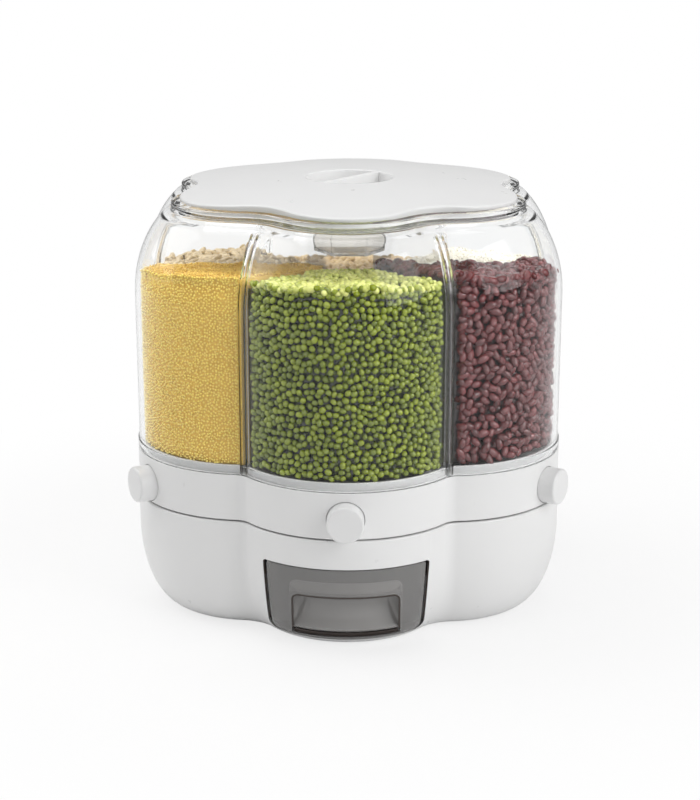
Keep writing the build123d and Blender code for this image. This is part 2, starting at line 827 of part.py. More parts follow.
# Soft ring that seals the mouth, under the lid's plate
with BuildPart() as lid_gasket:
    with BuildSketch(SECTION):
        with Locations((reach - mouth_inset - gasket_gap - gasket_width / 2, rim_top - gasket_depth / 2)):
            Rectangle(gasket_width, gasket_depth)
    sweep(path=outline)
lid_gasket.part.label = "lid_gasket"

# Drying box under the lid's grip, closed by a slotted cover
box_top = lid_top - grip_depth - grip_wall
with BuildPart() as desiccant_box:
    with BuildSketch(Plane.XY.offset(box_bottom + cover_thickness)):
        RegularPolygon(box_flats / 2, 6, major_radius=False)
        RegularPolygon(box_flats / 2 - box_wall, 6, major_radius=False, mode=Mode.SUBTRACT)
    extrude(amount=box_top - box_bottom - cover_thickness)
desiccant_box.part.label = "desiccant_box"

with BuildPart() as desiccant_cover:
    with BuildSketch(Plane.XY.offset(box_bottom)):
        RegularPolygon(box_flats / 2, 6, major_radius=False)
        with GridLocations(0, vent_pitch, 1, vent_count):
            Rectangle(box_flats / 2, vent_width, mode=Mode.SUBTRACT)
    extrude(amount=cover_thickness)
desiccant_cover.part.label = "desiccant_cover"

# Every sub-part goes to a file of its own, and the six sets of a compartment are turned copies
os.makedirs("parts", exist_ok=True)
pieces = [
    base_shell, base_bottom, feet, spindle, spindle_cap, chute, guide_left, guide_right,
    drawer_front, drawer_tray, rollers, roller_cage, turntable, button_ring, hopper_floor,
    barrel, divider_core, lid_plate, lid_gasket, desiccant_box, desiccant_cover,
]
sets = (("button", button), ("gate", gate), ("spring", spring), ("funnel", hopper_funnel))
for piece in pieces:
    export_step(piece.part, "parts/" + piece.part.label + ".step")
for number in range(lobe_count):
    for name, piece in sets:
        turned = piece.part.rotate(Axis.Z, number * step_angle)
        turned.label = name + "_" + str(number + 1)
        export_step(turned, "parts/" + turned.label + ".step")
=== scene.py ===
from math import asin, atan2, cos, hypot, pi, radians, sin, sqrt, tan

import bmesh
import bpy
from mathutils import Matrix, Vector, noise


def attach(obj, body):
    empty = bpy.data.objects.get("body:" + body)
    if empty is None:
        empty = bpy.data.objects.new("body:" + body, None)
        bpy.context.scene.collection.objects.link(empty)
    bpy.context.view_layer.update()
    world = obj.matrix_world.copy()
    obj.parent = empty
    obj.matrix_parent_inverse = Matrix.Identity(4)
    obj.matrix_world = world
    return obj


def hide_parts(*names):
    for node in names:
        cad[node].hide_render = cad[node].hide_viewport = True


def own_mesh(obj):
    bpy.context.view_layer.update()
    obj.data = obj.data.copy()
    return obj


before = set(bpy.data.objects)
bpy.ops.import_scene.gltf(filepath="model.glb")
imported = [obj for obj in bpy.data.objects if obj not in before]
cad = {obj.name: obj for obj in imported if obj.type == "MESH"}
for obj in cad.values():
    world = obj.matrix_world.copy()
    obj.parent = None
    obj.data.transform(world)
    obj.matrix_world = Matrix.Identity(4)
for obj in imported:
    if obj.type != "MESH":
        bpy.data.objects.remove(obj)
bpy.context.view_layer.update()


# Studio
# A white floor under soft light: the main panel in front on the right, one low behind on the left, one
# overhead and a weak glow all round. The camera looks down at 17.6 degrees from 1.45 m away.

class Wire:
    """A socket of a node tree. Arithmetic on it adds Math nodes."""

    def __init__(self, tree, socket):
        self.tree = tree
        self.socket = socket

    def maths(self, operation, first, second):
        return add_node(self.tree, "ShaderNodeMath", {0: first, 1: second}, operation=operation)

    def __add__(self, other):
        return self.maths("ADD", self, other)

    def __sub__(self, other):
        return self.maths("SUBTRACT", self, other)

    def __rsub__(self, other):
        return self.maths("SUBTRACT", other, self)

    def __mul__(self, other):
        return self.maths("MULTIPLY", self, other)

    def __pow__(self, other):
        return self.maths("POWER", self, other)

    def over(self, other):
        return self.maths("MAXIMUM", self, other)

    __radd__ = __add__
    __rmul__ = __mul__


def add_node(tree, kind, values=None, out=0, **settings):
    """A node of this kind. Its settings are made first, then the values or links of its sockets."""
    made = tree.nodes.new(kind)
    for key, value in settings.items():
        if key == "stops":
            ramp = made.color_ramp
            while len(ramp.elements) > 1:
                ramp.elements.remove(ramp.elements[-1])
            for count, (place, colour) in enumerate(value):
                stop = ramp.elements.new(place) if count else ramp.elements[0]
                stop.position = place
                stop.color = (*colour, 1.0)
        else:
            setattr(made, key, value)
    for key, value in (values or {}).items():
        if isinstance(value, Wire):
            tree.links.new(value.socket, made.inputs[key])
        else:
            made.inputs[key].default_value = value
    return Wire(tree, made.outputs[out]) if len(made.outputs) else None


def new_finish(name):
    """A material with an empty tree."""
    finish = bpy.data.materials.new(name)
    finish.use_nodes = True
    finish.node_tree.nodes.clear()
    return finish, finish.node_tree


def new_object(name, data):
    """An object at the origin, linked to the scene."""
    made = bpy.data.objects.new(name, data)
    bpy.context.scene.collection.objects.link(made)
    return made


def seen_ray(tree):
    """1 where a ray comes from the camera or through something clear, and 0 for the light itself."""
    camera = add_node(tree, "ShaderNodeLightPath", out="Is Camera Ray")
    through = add_node(tree, "ShaderNodeLightPath", out="Is Transmission Ray")
    return camera.over(through)


floor_white = 0.9
shadow_share = 0.25  # how much of the floor's own shading the camera sees, beside the housing
shadow_start, shadow_end = 0.2, 0.48  # metres from the axis, between which that share fades to none
room_glow = 0.34
floor_finish, tree = new_finish("studio_floor")
seen = seen_ray(tree)
spot = add_node(tree, "ShaderNodeTexCoord", out="Object")
away = add_node(tree, "ShaderNodeVectorMath", {0: spot}, "Value", operation="LENGTH")
plain = add_node(
    tree, "ShaderNodeMapRange",
    {0: away, 1: shadow_start, 2: shadow_end, 3: 1 - shadow_share, 4: 1.0},
    interpolation_type="SMOOTHSTEP",
)
own = add_node(tree, "ShaderNodeBsdfDiffuse", {"Color": (floor_white,) * 3 + (1,)})
white = add_node(tree, "ShaderNodeEmission", {"Color": (1, 1, 1, 1), "Strength": 1.0})
both = add_node(tree, "ShaderNodeMixShader", {0: seen * plain, 1: own, 2: white})
add_node(tree, "ShaderNodeOutputMaterial", {"Surface": both})

floor_mesh = bpy.data.meshes.new("floor")
floor_mesh.from_pydata(
    [(-6, -6, 0), (6, -6, 0), (6, 8, 0), (-6, 8, 0)], [], [(0, 1, 2, 3)]
)
floor_mesh.materials.append(floor_finish)
new_object("floor", floor_mesh)

room = bpy.data.worlds.new("room")
bpy.context.scene.world = room
room.use_nodes = True
room.node_tree.nodes.clear()
seen = seen_ray(room.node_tree)
glow = add_node(
    room.node_tree, "ShaderNodeBackground",
    {"Color": (1, 1, 1, 1), "Strength": seen + (1 - seen) * room_glow},
)
add_node(room.node_tree, "ShaderNodeOutputWorld", {"Surface": glow})


panel_aim = Vector((0, 0, 0.15))


def soft_panel(name, place, size, power):
    """A square soft light that faces the object."""
    panel = bpy.data.lights.new(name, "AREA")
    panel.shape = "SQUARE"
    panel.size = size
    panel.energy = power
    lamp = new_object(name, panel)
    lamp.location = place
    lamp.rotation_euler = (panel_aim - Vector(place)).to_track_quat("-Z", "Y").to_euler()


soft_panel("panel_right", (1.65, -1.1, 1.1), 1.6, 22.2)
soft_panel("panel_left", (-1.6, 0.35, 1.1), 1.4, 9.8)
soft_panel("panel_over", (-0.25, 0.1, 1.9), 1.5, 17.0)

photo_width, photo_height = 700, 800
axis_column, seam_row = 349.42, 468.9  # where the photo has the axis and the seam over the base
focal_pixels = 2008.6
sensor_width = 36.0
view_distance = 1.446
view_height = 0.080  # of the seam between base and ring
view_down = radians(17.55)
view_turn = radians(0.93)
camera_data = bpy.data.cameras.new("camera")
camera_data.sensor_width = sensor_width
camera_data.lens = focal_pixels / photo_height * sensor_width
camera_data.shift_x = (photo_width / 2 - axis_column) / photo_height
camera_data.shift_y = (seam_row - photo_height / 2) / photo_height
camera = new_object("camera", camera_data)
outward = Vector((sin(view_turn) * cos(view_down), -cos(view_turn) * cos(view_down), sin(view_down)))
camera.location = Vector((0, 0, view_height)) + outward * view_distance
camera.rotation_euler = (-outward).to_track_quat("-Z", "Y").to_euler()
bpy.context.scene.camera = camera
bpy.context.scene.view_settings.view_transform = "Standard"


# Base housing
# One injection-moulded skirt of white ABS that follows the six-lobed plan, rounded in under the lobes,
# with a flat deck welded in its top and a window for the drawer in the front lobe.

lobe_pitch = 76.0
lobe_radius = 80.5
cusp_radius = 12.0
reach = lobe_pitch + lobe_radius
half_step = radians(30)
cusp_centre = lobe_pitch * cos(half_step) + sqrt(
    (lobe_radius + cusp_radius) ** 2 - (lobe_pitch * sin(half_step)) ** 2
)
arc_half = atan2(cusp_centre * sin(half_step), cusp_centre * cos(half_step) - lobe_pitch)


def lobe_turn(number):
    """The direction of a lobe's middle. Number 0 is the front lobe, over the drawer."""
    return radians(-90 + 60 * number)


def outline_walk():
    """The six-lobed outline as evenly spaced points, in millimetres. The front lobe points to -Y."""
    per_lobe, per_cusp = 60, 24
    points = []
    for lobe in range(6):
        turn = lobe_turn(lobe)
        centre = (lobe_pitch * cos(turn), lobe_pitch * sin(turn))
        for step in range(per_lobe):
            angle = turn - arc_half + 2 * arc_half * step / per_lobe
            points.append((centre[0] + lobe_radius * cos(angle), centre[1] + lobe_radius * sin(angle)))
        turn += half_step
        centre = (cusp_centre * cos(turn), cusp_centre * sin(turn))
        sweep = arc_half - half_step
        for step in range(per_cusp):
            angle = turn + pi + sweep - 2 * sweep * step / per_cusp
            points.append((centre[0] + cusp_radius * cos(angle), centre[1] + cusp_radius * sin(angle)))
    return points


def lobed_reach(turn, inset):
    """Distance from the axis to the lobed outline, in millimetres, in the direction of turn."""
    off = (turn + pi / 2 + half_step) % (2 * half_step) - half_step
    size = lobe_radius - inset
    tangent = atan2(size * sin(arc_half), lobe_pitch + size * cos(arc_half))
    if abs(off) <= tangent:
        return lobe_pitch * cos(off) + sqrt(size**2 - (lobe_pitch * sin(off)) ** 2)
    off = half_step - abs(off)
    across = cusp_centre * sin(off)
    return cusp_centre * cos(off) - sqrt(max(0.0, (cusp_radius + inset) ** 2 - across**2))


def rounded(corners, steps=4):
    """A closed section with its corners rounded. A corner is x, y and a radius, in millimetres."""
    line = []
    for count, corner in enumerate(corners):
        here = Vector(corner[:2])
        size = corner[2] if len(corner) > 2 else 0
        if not size:
            line.append(tuple(here))
            continue
        before = (Vector(corners[count - 1][:2]) - here).normalized()
        after = (Vector(corners[(count + 1) % len(corners)][:2]) - here).normalized()
        half = before.angle(after) / 2
        run = size / tan(half)
        middle = here + (before + after).normalized() * size / sin(half)
        first = here + before * run - middle
        last = here + after * run - middle
        for step in range(steps + 1):
            share = step / steps
            line.append(tuple(middle + (first * (1 - share) + last * share).normalized() * size))
    return line


def new_piece(name, mesh, finish=None):
    """A mesh as an object, with a finish where one is given."""
    if finish:
        mesh.materials.clear()
        mesh.materials.append(finish)
    return new_object(name, mesh)


def settled(piece):
    """Runs a piece's modifiers and leaves one plain mesh."""
    bpy.context.view_layer.update()
    graph = bpy.context.evaluated_depsgraph_get()
    mesh = bpy.data.meshes.new_from_object(piece.evaluated_get(graph), depsgraph=graph)
    piece.modifiers.clear()
    old = piece.data
    piece.data = mesh
    mesh.name = piece.name
    if old.users == 0:
        bpy.data.meshes.remove(old)
    return piece


def mesh_from(name, points, faces):
    """A mesh from corners in millimetres."""
    mesh = bpy.data.meshes.new(name)
    mesh.from_pydata([tuple(v / 1000 for v in point) for point in points], [], faces)
    return mesh


def band(here, there, count, steps=None):
    """The faces between two rings of corners, from the number of each ring's first corner."""
    return [
        (here + step, here + (step + 1) % count, there + (step + 1) % count, there + step)
        for step in steps or range(count)
    ]


def face_outwards(mesh, merge=False):
    """Turns a mesh's faces outwards, with its doubles merged first where that is asked."""
    work = bmesh.new()
    work.from_mesh(mesh)
    if merge:
        bmesh.ops.remove_doubles(work, verts=work.verts, dist=1e-6)
    bmesh.ops.recalc_face_normals(work, faces=work.faces)
    work.to_mesh(mesh)
    work.free()


def evenly_shaded(piece):
    """Weights the normals by the faces' sizes, so that wide faces look flat, and settles the piece."""
    even = piece.modifiers.new("even", "WEIGHTED_NORMAL")
    even.keep_sharp = True
    return settled(piece)


def discard(*helpers):
    """Removes helper objects with their meshes or curves."""
    for helper in helpers:
        data = helper.data
        bpy.data.objects.remove(helper)
        store = bpy.data.curves if isinstance(data, bpy.types.Curve) else bpy.data.meshes
        store.remove(data)


def grown(name, tree, values, mesh=None):
    """Runs a geometry tree on a mesh and gives the result as a plain mesh object."""
    piece = new_piece(name, mesh or bpy.data.meshes.new(name))
    runner = piece.modifiers.new("tree", "NODES")
    runner.node_group = tree
    for item in tree.interface.items_tree:
        if item.in_out == "INPUT" and item.name in values:
            runner[item.identifier] = values[item.name]
    return settled(piece)


def new_tree(name, inputs):
    """A geometry tree with these named inputs, and the wires of each."""
    tree = bpy.data.node_groups.new(name, "GeometryNodeTree")
    tree.interface.new_socket(name="Geometry", in_out="INPUT", socket_type="NodeSocketGeometry")
    for label, kind in inputs:
        tree.interface.new_socket(name=label, in_out="INPUT", socket_type="NodeSocket" + kind)
    tree.interface.new_socket(name="Geometry", in_out="OUTPUT", socket_type="NodeSocketGeometry")
    enter = tree.nodes.new("NodeGroupInput")
    return tree, {socket.name: Wire(tree, socket) for socket in enter.outputs if socket.name}


def end_tree(tree, shape, finish):
    """Ends a geometry tree: instances made real, and the finish set."""
    real = add_node(tree, "GeometryNodeRealizeInstances", {"Geometry": shape})
    done = add_node(tree, "GeometryNodeSetMaterial", {"Geometry": real, "Material": finish})
    add_node(tree, "NodeGroupOutput", {"Geometry": done})


def path_object(name, points):
    """A closed line of points as a curve object, in metres."""
    line = bpy.data.curves.new(name, "CURVE")
    line.dimensions = "3D"
    spline = line.splines.new("POLY")
    spline.points.add(len(points) - 1)
    for place, (x, y) in zip(spline.points, points):
        place.co = (x / 1000, y / 1000, 0, 1)
    spline.use_cyclic_u = True
    return new_object(name, line)


sweep_tree, wires = new_tree(
    "wall_along_the_lobes", [("Outline", "Object"), ("Section", "Object"), ("Finish", "Material")]
)
outline = add_node(sweep_tree, "GeometryNodeObjectInfo", {"Object": wires["Outline"]}, "Geometry")
section = add_node(sweep_tree, "GeometryNodeObjectInfo", {"Object": wires["Section"]}, "Geometry")
upright = add_node(sweep_tree, "GeometryNodeSetCurveNormal", {"Curve": outline}, mode="Z_UP")
wall = add_node(sweep_tree, "GeometryNodeCurveToMesh", {"Curve": upright, "Profile Curve": section})
smooth = add_node(sweep_tree, "GeometryNodeSetShadeSmooth", {"Geometry": wall})
end_tree(sweep_tree, smooth, wires["Finish"])


def lobed_wall(name, section, finish):
    """A wall swept along the lobed outline. The section is inset and height, in millimetres."""
    path = path_object(name + "_outline", outline_walk())
    shape = path_object(name + "_section", [(-inset, -height) for inset, height in section])
    piece = grown(name, sweep_tree, {"Outline": path, "Section": shape, "Finish": finish})
    discard(path, shape)
    face_outwards(piece.data)
    return evenly_shaded(piece)


def lobed_ring(inset):
    """The lobed outline at an inset, for ring_loft."""
    return lambda turn: lobed_reach(turn, inset)


def ring_loft(name, rings, finish, count=360, closed=False):
    """Rings joined into one skin, in millimetres.

    A ring is its distance from the axis, a number or a function of the direction, and its height, a
    number or a function of that distance.
    """
    points, faces = [], []
    for size, height in rings:
        for step in range(count):
            turn = 2 * pi * step / count
            far = size(turn) if callable(size) else size
            up = height(far) if callable(height) else height
            points.append((far * cos(turn), far * sin(turn), up))
    for here in range(len(rings) - (0 if closed else 1)):
        there = (here + 1) % len(rings)
        faces += band(here * count, there * count, count)
    mesh = mesh_from(name, points, faces)
    face_outwards(mesh, merge=True)
    mesh.shade_smooth()
    return evenly_shaded(new_piece(name, mesh, finish))


def prism(corners, start, end, place, name="cutter", finish=None):
    """A closed prism. Place turns a corner's x, y and the depth into millimetres."""
    count = len(corners)
    points = [place(x, y, depth) for depth in (start, end) for x, y in corners]
    faces = [tuple(range(count)), tuple(range(2 * count - 1, count - 1, -1))]
    for step in range(count):
        after = (step + 1) % count
        faces.append((step, count + step, count + after, after))
    mesh = mesh_from(name, points, faces)
    face_outwards(mesh)
    return new_piece(name, mesh, finish)


def front_outline(low_half, high_half, bottom, top, low_round=0, high_round=0, steps=4):
    """A four-cornered outline with rounded corners, seen from the front: x and height."""
    corners = [
        (-low_half, bottom, low_round), (low_half, bottom, low_round),
        (high_half, top, high_round), (-high_half, top, high_round),
    ]
    return rounded(corners, steps)


front_start, front_end = 88.0, 175.0


def front_prism(outline):
    """A prism through the front lobe, from behind the drawer's front to outside the housing."""
    return prism(outline, front_start, front_end, lambda x, y, depth: (x, -depth, y))


crease = radians(38)


def cut_away(piece, cutters, operation="DIFFERENCE"):
    """Cuts these shapes out of a piece, keeps only what lies in them, or joins them to it."""
    for cutter in cutters:
        step = piece.modifiers.new("cut", "BOOLEAN")
        step.operation = operation
        step.solver = "EXACT"
        step.object = cutter
    settled(piece)
    discard(*cutters)
    piece.data.set_sharp_from_angle(angle=crease)
    return piece


def speckle(tree, scale, detail=3.0):
    """Noise on object coordinates, with this many features to the metre."""
    place = add_node(tree, "ShaderNodeTexCoord", out="Object")
    return add_node(tree, "ShaderNodeTexNoise", {"Vector": place, "Scale": scale, "Detail": detail})


def blend_colour(tree, amount, first, second):
    """One colour into another."""
    return add_node(
        tree, "ShaderNodeMix", {0: amount, 6: (*first, 1), 7: (*second, 1)}, 2, data_type="RGBA"
    )


def bumped(tree, strength, distance, height):
    """A bump of this many metres at full strength."""
    return add_node(
        tree, "ShaderNodeBump", {"Strength": strength, "Distance": distance, "Height": height}
    )


def end_finish(finish, sockets):
    """Ends a material with one shader, from the values or wires of its sockets."""
    shader = add_node(finish.node_tree, "ShaderNodeBsdfPrincipled", sockets)
    add_node(finish.node_tree, "ShaderNodeOutputMaterial", {"Surface": shader})
    return finish


def moulded(name, colour, shade, roughness, peel):
    """Moulded plastic: faint flow marks in its colour, an uneven gloss and a fine orange-peel skin."""
    finish, tree = new_finish(name)
    flow = speckle(tree, 22.0, 4.0)
    smudge = speckle(tree, 70.0, 5.0)
    sockets = {
        "Base Color": blend_colour(tree, flow, colour, shade),
        "Roughness": roughness + (smudge - 0.5) * 0.12,
        "IOR": 1.53,
        "Normal": bumped(tree, peel, 0.0001, speckle(tree, 700.0, 2.0)),
    }
    return end_finish(finish, sockets)


base_wall = 3.0
base_top = 80.0
foot_height = 1.5
under_drop, under_width, under_height = 58.4, 26.6, 58.0
under_angle = asin((under_drop - foot_height) / under_height)
white_plastic = moulded("satin_white", (0.86, 0.86, 0.855), (0.83, 0.83, 0.83), 0.3, 0.1)


def under_point(angle, wall):
    """A point of the housing's rounding, as inset and height, moved in by a wall's thickness."""
    x, y = under_width * cos(angle), -under_height * sin(angle)
    nx, ny = cos(angle) / under_width, -sin(angle) / under_height
    size = hypot(nx, ny)
    return (under_width - x + wall * nx / size, under_drop + y - wall * ny / size)


skirt = [(base_wall, base_top, 0.5), (0, base_top, 1.1)]
skirt += [under_point(under_angle * step / 22, 0) for step in range(23)]
inner = [under_point(under_angle * step / 12, base_wall) for step in range(12, -1, -1)]
skirt += [(inner[0][0], foot_height)] + inner
base_housing = lobed_wall("base_housing", rounded(skirt), white_plastic)

window_half, window_low_half = 55.0, 51.64
window_bottom, window_top = 5.5, 60.5
window = front_outline(window_low_half, window_half, window_bottom, window_top, 9.0, 2.0, 8)
cut_away(base_housing, [front_prism(window)])
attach(base_housing, "base")
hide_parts("base_shell")

deck_inset, deck_bottom = 2.6, 77.0
race_outer, race_inner, race_floor = 72.0, 56.0, 73.9
race_wall = 2
spindle_bore = 8.06
deck_rings = [
    (lobed_ring(deck_inset), base_top), (race_outer, base_top), (race_outer, race_floor),
    (race_inner, race_floor), (race_inner, base_top), (spindle_bore, base_top), (spindle_bore, deck_bottom),
    (race_inner - race_wall, deck_bottom), (race_inner - race_wall, race_floor - race_wall),
    (race_outer + race_wall, race_floor - race_wall), (race_outer + race_wall, deck_bottom),
    (lobed_ring(deck_inset), deck_bottom),
]
base_deck = ring_loft("base_deck", deck_rings, white_plastic, closed=True)
slot_corners = [(-22, -105.5), (22, -105.5), (22, -94.0), (-22, -94.0)]
cut_away(base_deck, [prism(slot_corners, 60.0, 90.0, lambda x, y, depth: (x, y, depth))])
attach(base_deck, "base")


def turned(section, segments):
    """A solid turned round the Z axis from radius and height in millimetres, as a bmesh in metres."""
    work = bmesh.new()
    line = [work.verts.new((x / 1000, 0, z / 1000)) for x, z in section]
    edges = [work.edges.new(pair) for pair in zip(line, line[1:])]
    bmesh.ops.spin(
        work, geom=line + edges, cent=(0, 0, 0), axis=(0, 0, 1), angle=2 * pi, steps=segments,
        use_duplicate=False,
    )
    bmesh.ops.remove_doubles(work, verts=work.verts, dist=1e-6)
    bmesh.ops.recalc_face_normals(work, faces=work.faces)
    return work


# a pillar in each lobe but the front one. Their reach is in metres.
pillar_radius, pillar_foot, pillar_head = 4.0, 4.0, 77.2
pillar_reach = 0.102
pillar = turned(
    [(0, pillar_foot), (pillar_radius, pillar_foot), (pillar_radius, pillar_head), (0, pillar_head)], 24
)
pillar_mesh = bpy.data.meshes.new("base_pillars")
pillars = bmesh.new()
for number in range(1, 6):
    turn = lobe_turn(number)
    copy = pillar.copy()
    copy.transform(Matrix.Translation((pillar_reach * cos(turn), pillar_reach * sin(turn), 0)))
    copy.to_mesh(pillar_mesh)
    pillars.from_mesh(pillar_mesh)
    copy.free()
pillars.to_mesh(pillar_mesh)
pillars.free()
pillar.free()
pillar_mesh.shade_smooth()
pillar_mesh.set_sharp_from_angle(angle=crease)
base_pillars = new_piece("base_pillars", pillar_mesh, white_plastic)
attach(base_pillars, "base")


# Bottom plate, feet and inside of the base
# The plate drops in from below and is screwed to the pillars. It stands on six soft feet. Above it are
# the chute and the two rails that the drawer runs on.

def dress(finish, *nodes):
    """Gives CAD nodes a finish."""
    for node in nodes:
        mesh = cad[node].data
        mesh.materials.clear()
        mesh.materials.append(finish)


soft_foot = moulded("foot_soft", (0.62, 0.62, 0.61), (0.55, 0.55, 0.54), 0.72, 0.35)
dress(white_plastic, "base_bottom", "chute", "guide_left", "guide_right")
dress(soft_foot, "feet")


# Pivot and rollers
# A turned steel spindle with its washer and cap screw, and six steel rollers in a flat nylon cage
# between the race and the turntable.

def turned_steel(name):
    """Bright steel with fine marks from the lathe."""
    finish, tree = new_finish(name)
    marks = speckle(tree, 1400.0, 6.0)
    dull = speckle(tree, 90.0, 3.0)
    sockets = {
        "Base Color": blend_colour(tree, dull, (0.66, 0.66, 0.67), (0.55, 0.55, 0.56)),
        "Roughness": marks * 0.12 + 0.22,
        "Metallic": 1.0,
        "Normal": bumped(tree, 0.12, 0.0002, marks),
    }
    return end_finish(finish, sockets)


steel = turned_steel("lathe_steel")
dress(steel, "spindle", "spindle_cap", "rollers")
dress(white_plastic, "roller_cage")


# Drawer
# A smoky clear front, flush with the lobe, with a finger scoop moulded in, and a smoky cup behind it
# that catches the grain.

def clear_shell(name, colour, roughness, haze, clearness=1.0, bend=1.49):
    """Clear plastic: it bends what is seen through it and lets the lamps' light in."""
    finish, tree = new_finish(name)
    smudge = speckle(tree, 60.0, 4.0)
    sockets = {
        "Base Color": (*colour, 1),
        "Roughness": roughness + smudge * haze,
        "Transmission Weight": clearness,
        "IOR": bend,
        "Normal": bumped(tree, 0.05, 0.0003, speckle(tree, 45.0, 2.0)),
    }
    shader = add_node(tree, "ShaderNodeBsdfPrincipled", sockets)
    passed = add_node(tree, "ShaderNodeBsdfTransparent", {"Color": (*(c**0.5 for c in colour), 1)})
    lamp = add_node(tree, "ShaderNodeLightPath", out="Is Shadow Ray")
    both = add_node(tree, "ShaderNodeMixShader", {0: lamp, 1: shader, 2: passed})
    add_node(tree, "ShaderNodeOutputMaterial", {"Surface": both})
    return finish


smoke_plastic = clear_shell("smoky_clear", (0.47, 0.462, 0.455), 0.05, 0.04, clearness=0.68)
dress(smoke_plastic, "drawer_tray")


def bulge(height):
    """How far the housing's rounding lies inside the straight wall at a height."""
    drop = max(0.0, under_drop - height) / under_height
    return under_width * (1 - sqrt(1 - drop * drop))


def drawer_sheet(name, outer, inner, heights, outline, finish):
    """A sheet that follows the housing's front between two depths, trimmed to an outline."""
    section = [(outer + bulge(height), height) for height in heights]
    section += [(inner + bulge(height), height) for height in reversed(heights)]
    sheet = lobed_wall(name, section, finish)
    cut_away(sheet, [front_prism(outline)], "INTERSECT")
    return sheet


side_gap, edge_gap = 2.4, 0.8
panel = front_outline(
    window_low_half - side_gap, window_half - side_gap, window_bottom + edge_gap, window_top - edge_gap,
    8.0, 1.6, 8,
)
front_heights = [4.0 + 56.5 * step / 26 for step in range(27)]
front_thick = 2.9
drawer_skin = drawer_sheet("drawer_skin", 0.0, front_thick, front_heights, panel, smoke_plastic)
pull_half, pull_foot, pull_top, pull_round = 36.0, 8.0, 41.0, 5.0
opening = front_outline(pull_half, pull_half, pull_foot, pull_top, 0, pull_round, 6)
cut_away(drawer_skin, [front_prism(opening)])

# the flange of the cup, seen through the front as a paler band
flange = front_outline(pull_half + 0.6, pull_half + 0.6, 40.9, 50.0, 0, pull_round, 6)
cup_plastic = moulded("cup_pale", (0.93, 0.93, 0.92), (0.9, 0.9, 0.89), 0.3, 0.1)
cup_flange = drawer_sheet("cup_flange", 3.1, 4.4, [40.0, 43.0, 46.0, 49.0, 51.0], flange, cup_plastic)

# a dark brown frame between the front and the cup, open at the slot: painted shade for the shadow gap there
gap_shade_outer = front_outline(35.95, 35.95, 13.0, 40.95, 0, 4.95, 6)
gap_shade_inner = front_outline(34.7, 34.7, 10.0, 39.7, 0, 3.7, 6)
gap_shade_heights = [11.0 + 31.0 * step / 16 for step in range(17)]
# a dark brown finish that stands in for shadow: painted shade
bead_brown = moulded("bead_brown", (0.045, 0.03, 0.024), (0.035, 0.025, 0.02), 0.45, 0.1)
cup_bead = drawer_sheet("cup_bead", 0.12, 2.6, gap_shade_heights, gap_shade_outer, bead_brown)
cut_away(cup_bead, [front_prism(gap_shade_inner)])

# a dark strip of the same painted shade along the foot of the slot, where its inside lies in shadow
slot_shade_line = front_outline(34.6, 34.6, 8.3, 11.6, 0.8, 0.8)
slot_strip = drawer_sheet("slot_strip", 1.4, 2.8, [7.6, 8.8, 10.0, 11.2, 12.4], slot_shade_line, bead_brown)

# the cup: deepest under its roof, with side walls that spread towards its foot
cup_half = 36.2
cup_line = [
    (41.2, 2.9), (42.0, 4.2), (43.2, 6.6), (44.4, 9.4), (45.2, 11.6), (45.2, 12.7), (44.2, 13.2),
    (40.0, 12.6), (36.0, 11.5), (33.0, 10.7), (30.0, 9.7), (27.0, 8.5), (24.7, 7.5), (21.5, 5.9),
    (19.0, 4.3), (17.0, 2.9), (15.2, 1.5), (13.6, 0.5),
]
columns = 73
corners, faces = [], []
for column in range(columns):
    across = cup_half * (2 * column / (columns - 1) - 1)
    for height, depth in cup_line:
        flat = 0.95 - 0.27 * ((height - 13.6) / 31.6) ** 1.5
        share = 1 - max(0.0, (abs(across / cup_half) - flat) / (1 - flat))
        shallow = min(depth, front_thick)
        far = lobe_radius - bulge(height) - shallow - (depth - shallow) * share
        corners.append((across, -(lobe_pitch + sqrt(far * far - across * across)), height))
rows = len(cup_line)
for column in range(columns - 1):
    for row in range(rows - 1):
        here = column * rows + row
        faces.append((here, here + 1, here + rows + 1, here + rows))
cup_mesh = mesh_from("finger_cup", corners, faces)
cup_mesh.update()
if sum(face.normal.y for face in cup_mesh.polygons) > 0:
    cup_mesh.flip_normals()
cup_mesh.shade_smooth()
cup_smoke = clear_shell("cup_smoke", (0.53, 0.52, 0.51), 0.08, 0.05, clearness=0.55)
finger_cup = new_piece("finger_cup", cup_mesh, cup_smoke)
wall = finger_cup.modifiers.new("wall", "SOLIDIFY")
wall.thickness = 0.0016
wall.offset = -1
settled(finger_cup)

for piece in (drawer_skin, cup_flange, cup_bead, slot_strip, finger_cup):
    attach(piece, "drawer")
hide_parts("drawer_front")

# a thin dark sheet on each side of the window: painted shade in the gap that the drawer passes with play
window_shade_inner = front_outline(window_low_half - 1.0, window_half - 1.0, window_bottom + 4.0, window_top + 1.0)
window_shade_outer = front_outline(window_low_half, window_half, window_bottom + 9.0, window_top - 0.3)
window_seal = drawer_sheet("window_seal", 0.7, 2.6, front_heights, window_shade_outer, bead_brown)
cut_away(window_seal, [front_prism(window_shade_inner)])
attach(window_seal, "base")


# Turntable, gates, hopper floor
# White mouldings inside the turning part. The gates slide in rails on the turntable, and six
# funnels drop into the floor above them.

dress(white_plastic, "turntable", "hopper_floor")
for number in range(1, 7):
    dress(white_plastic, f"gate_{number}", f"funnel_{number}")

# the lip that the barrel's foot drops over, with a notch for each divider and its guides
lip_section = [
    (6.3, 112.5), (5.5, 114.1), (4.9, 115.7), (4.5, 117.2), (4.5, 117.9), (4.75, 118.3), (5.4, 118.5),
    (6.2, 118.3), (6.4, 117.9), (6.4, 112.5),
]
lip_rings = [(lobed_ring(inset), up) for inset, up in lip_section]
# its white plastic is coloured grey: painted shade, for where it lies behind the clear foot flange
lip_painted_grey = moulded("lip_white", (0.6, 0.6, 0.595), (0.56, 0.56, 0.56), 0.35, 0.1)
floor_lip = ring_loft("floor_lip", lip_rings, lip_painted_grey, count=480, closed=True)


